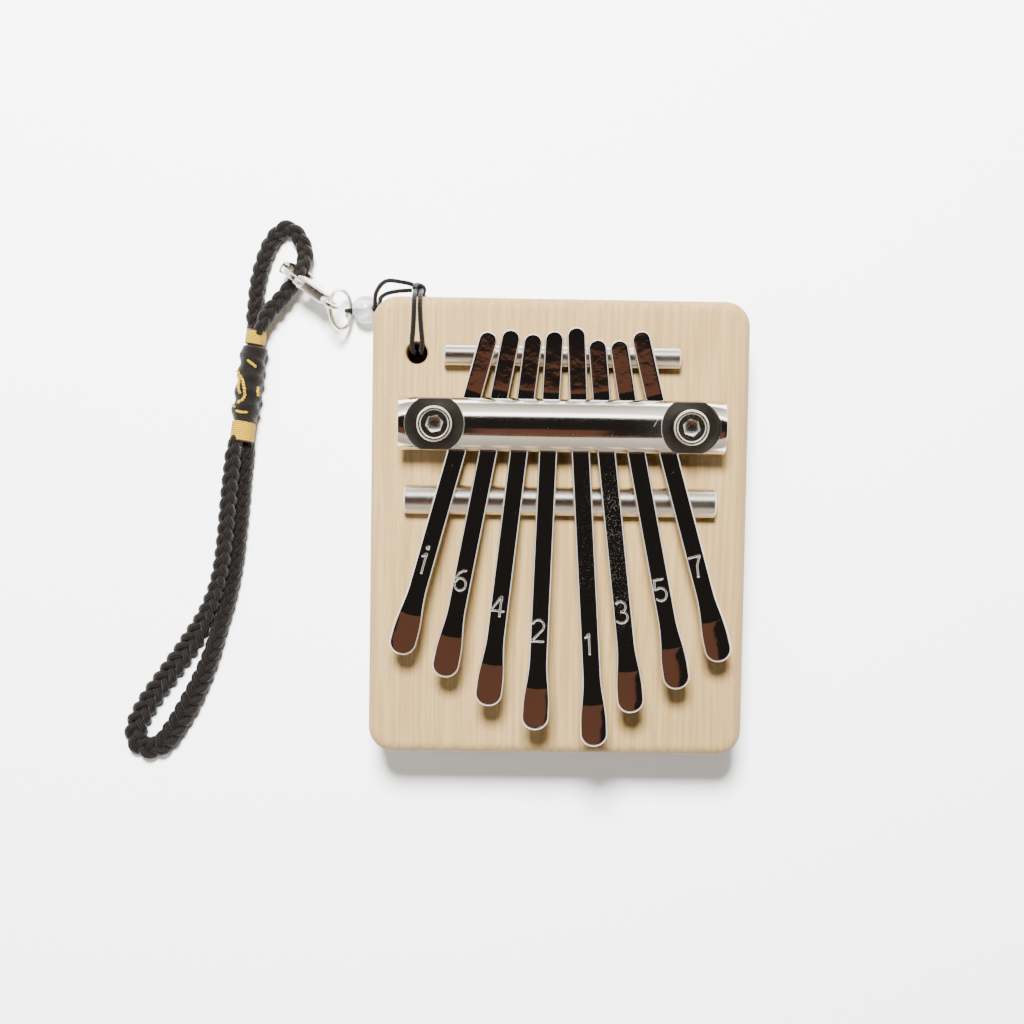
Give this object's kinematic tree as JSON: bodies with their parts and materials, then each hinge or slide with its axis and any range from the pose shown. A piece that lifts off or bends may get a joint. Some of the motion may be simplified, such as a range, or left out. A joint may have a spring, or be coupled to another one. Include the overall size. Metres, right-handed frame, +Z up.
{
  "type": "mbira",
  "caption": "Pocket thumb piano: flat steel tines clamped over two rods on a wooden board by a half-round bar, with a braided wrist strap on a ring and clasp.",
  "frame": {"origin": "centre of the wooden board's back face, which lies on the table", "axes": "+X across the tines to the right, +Y along the board from the playing tips towards the tails and the press bar, +Z up out of the playing face"},
  "size_m": [0.1262, 0.1115, 0.0288],
  "materials": {
    "board_wood": "pale close-grained wood, sanded, unvarnished",
    "bar_chrome": "polished nickel plate",
    "screw_steel": "bright nickel-plated steel",
    "rod_steel": "drawn bright steel",
    "insert_brass": "turned brass",
    "tine_steel": "polished spring steel with fine scratches",
    "clasp_nickel": "nickel plate",
    "cord_black": "waxed polyester cord",
    "braid_black": "braided nylon",
    "thread_gold": "wound silky thread",
    "bead_clear": "clear moulded plastic"
  },
  "bodies": {
    "root": {"board": "board_wood", "screw_inserts": "insert_brass", "press_bar": "bar_chrome", "clamp_screws": "screw_steel", "back_rod": "rod_steel", "front_rod": "rod_steel", "cord_strand_left": "cord_black", "cord_strand_right": "cord_black", "cord_knot": "cord_black", "clear_bead": "bead_clear"},
    "tine_c1high": {"tine_c1high_shank": "tine_steel"},
    "tongue_c1high": {"tine_c1high_tongue": "tine_steel"},
    "tine_a6": {"tine_a6_shank": "tine_steel"},
    "tongue_a6": {"tine_a6_tongue": "tine_steel"},
    "tine_f4": {"tine_f4_shank": "tine_steel"},
    "tongue_f4": {"tine_f4_tongue": "tine_steel"},
    "tine_d2": {"tine_d2_shank": "tine_steel"},
    "tongue_d2": {"tine_d2_tongue": "tine_steel"},
    "tine_c1": {"tine_c1_shank": "tine_steel"},
    "tongue_c1": {"tine_c1_tongue": "tine_steel"},
    "tine_e3": {"tine_e3_shank": "tine_steel"},
    "tongue_e3": {"tine_e3_tongue": "tine_steel"},
    "tine_g5": {"tine_g5_shank": "tine_steel"},
    "tongue_g5": {"tine_g5_tongue": "tine_steel"},
    "tine_b7": {"tine_b7_shank": "tine_steel"},
    "tongue_b7": {"tine_b7_tongue": "tine_steel"},
    "ring": {"jump_ring": "clasp_nickel"},
    "clasp": {"clasp_body": "clasp_nickel", "clasp_rivet": "clasp_nickel", "clasp_spring": "clasp_nickel", "strap_top_loop": "braid_black", "strap_wrist_loop": "braid_black", "upper_thread_band": "thread_gold", "wrapped_knot": "braid_black", "lower_thread_band": "thread_gold"},
    "gate": {"clasp_gate": "clasp_nickel"}
  },
  "joints": [
    {"name": "tune_c1high", "type": "slide", "parent": "root", "child": "tine_c1high", "axis": [-0.2581, -0.9661, 0], "range_m": [-0.0006, 0.0006]},
    {"name": "pluck_c1high", "type": "hinge", "parent": "tine_c1high", "child": "tongue_c1high", "pos_m": [-0.02417, 0.00098, 0.02354], "axis": [0.9661, -0.2581, 0], "range_deg": [-2, 3], "stiffness_Nm_per_rad": 0.05},
    {"name": "tune_a6", "type": "slide", "parent": "root", "child": "tine_a6", "axis": [-0.1816, -0.9834, 0], "range_m": [-0.0006, 0.0006]},
    {"name": "pluck_a6", "type": "hinge", "parent": "tine_a6", "child": "tongue_a6", "pos_m": [-0.017, 0.00034, 0.0236], "axis": [0.9834, -0.1816, 0], "range_deg": [-2, 3], "stiffness_Nm_per_rad": 0.05},
    {"name": "tune_f4", "type": "slide", "parent": "root", "child": "tine_f4", "axis": [-0.1112, -0.9938, 0], "range_m": [-0.0006, 0.0006]},
    {"name": "pluck_f4", "type": "hinge", "parent": "tine_f4", "child": "tongue_f4", "pos_m": [-0.01001, -0.00047, 0.02369], "axis": [0.9938, -0.1112, 0], "range_deg": [-2, 3], "stiffness_Nm_per_rad": 0.05},
    {"name": "tune_d2", "type": "slide", "parent": "root", "child": "tine_d2", "axis": [-0.0361, -0.9993, 0], "range_m": [-0.0006, 0.0006]},
    {"name": "pluck_d2", "type": "hinge", "parent": "tine_d2", "child": "tongue_d2", "pos_m": [-0.00314, -0.00114, 0.02378], "axis": [0.9993, -0.0361, 0], "range_deg": [-2, 3], "stiffness_Nm_per_rad": 0.05},
    {"name": "tune_c1", "type": "slide", "parent": "root", "child": "tine_c1", "axis": [0.0589, -0.9983, 0], "range_m": [-0.0006, 0.0006]},
    {"name": "pluck_c1", "type": "hinge", "parent": "tine_c1", "child": "tongue_c1", "pos_m": [0.00483, -0.0016, 0.02384], "axis": [0.9983, 0.0589, 0], "range_deg": [-2, 3], "stiffness_Nm_per_rad": 0.05},
    {"name": "tune_e3", "type": "slide", "parent": "root", "child": "tine_e3", "axis": [0.1083, -0.9941, 0], "range_m": [-0.0006, 0.0006]},
    {"name": "pluck_e3", "type": "hinge", "parent": "tine_e3", "child": "tongue_e3", "pos_m": [0.01062, -0.00062, 0.02371], "axis": [0.9941, 0.1083, 0], "range_deg": [-2, 3], "stiffness_Nm_per_rad": 0.05},
    {"name": "tune_g5", "type": "slide", "parent": "root", "child": "tine_g5", "axis": [0.1872, -0.9823, 0], "range_m": [-0.0006, 0.0006]},
    {"name": "pluck_g5", "type": "hinge", "parent": "tine_g5", "child": "tongue_g5", "pos_m": [0.01765, 0.00009, 0.02364], "axis": [0.9823, 0.1872, 0], "range_deg": [-2, 3], "stiffness_Nm_per_rad": 0.05},
    {"name": "tune_b7", "type": "slide", "parent": "root", "child": "tine_b7", "axis": [0.2578, -0.9662, 0], "range_m": [-0.0006, 0.0006]},
    {"name": "pluck_b7", "type": "hinge", "parent": "tine_b7", "child": "tongue_b7", "pos_m": [0.02484, 0.00089, 0.02355], "axis": [0.9662, 0.2578, 0], "range_deg": [-2, 3], "stiffness_Nm_per_rad": 0.05},
    {"name": "ring_swivel", "type": "hinge", "parent": "root", "child": "ring", "pos_m": [-0.04306, 0.0435, 0.00159], "axis": [0, 0, 1], "range_deg": [-8, 8]},
    {"name": "clasp_swivel", "type": "hinge", "parent": "ring", "child": "clasp", "pos_m": [-0.04671, 0.0442, 0.00875], "axis": [0, 0, 1], "range_deg": [-6, 10]},
    {"name": "clasp_gate_hinge", "type": "hinge", "parent": "clasp", "child": "gate", "pos_m": [-0.05264, 0.0486, 0.00741], "axis": [-0.5316, -0.8136, -0.2355], "range_deg": [0, 16], "stiffness_Nm_per_rad": 0.00005}
  ]
}
